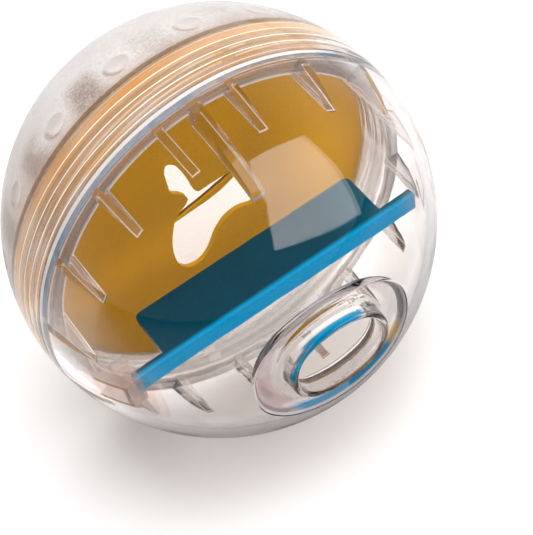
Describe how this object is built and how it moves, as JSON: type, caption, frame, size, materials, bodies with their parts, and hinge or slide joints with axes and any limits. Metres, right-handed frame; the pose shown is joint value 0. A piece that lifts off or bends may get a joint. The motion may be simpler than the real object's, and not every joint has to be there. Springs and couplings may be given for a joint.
{
  "type": "slow feeder puzzle ball",
  "caption": "Clear two-part screw-together puzzle ball with a wavy-ported amber divider, a blue baffle shelf and a dished oval outlet that lets dry food out piece by piece as it rolls.",
  "frame": {"origin": "centre of the ball, on the screw axis, halfway between the front and rear poles", "axes": "Y is the screw axis that both shells share, with the outlet at -Y and the rear pole at +Y; +Z is square to the top of the shelf; +X runs along the shelf's long edge"},
  "size_m": [0.1016, 0.101, 0.1016],
  "materials": {
    "clear_front": "polished clear moulded plastic with a faint warm grey tint",
    "clear_rear": "hazy fine-grained clear moulded plastic with polished dimples",
    "amber": "smooth moulded amber-yellow plastic, slightly translucent",
    "blue": "smooth moulded blue plastic"
  },
  "bodies": {
    "front": {"front_shell": "clear_front"},
    "divider_disc": {"divider": "amber"},
    "rear": {"rear_shell": "clear_rear"},
    "baffle": {"shelf": "blue"}
  },
  "joints": [
    {"name": "unscrew_travel", "type": "slide", "parent": "front", "child": "divider_disc", "axis": [0, 1, 0], "range_m": [0, 0.0076]},
    {"name": "rear_unscrew", "type": "hinge", "parent": "divider_disc", "child": "rear", "pos_m": [0, 0, 0], "axis": [0, 1, 0], "range_deg": [0, 346]},
    {"name": "shelf_slide", "type": "slide", "parent": "front", "child": "baffle", "axis": [0, 1, 0], "range_m": [0, 0.013]}
  ],
  "couplings": [
    {"joint": "unscrew_travel", "follows": "rear_unscrew", "m_per_rad": 0.0012414}
  ]
}
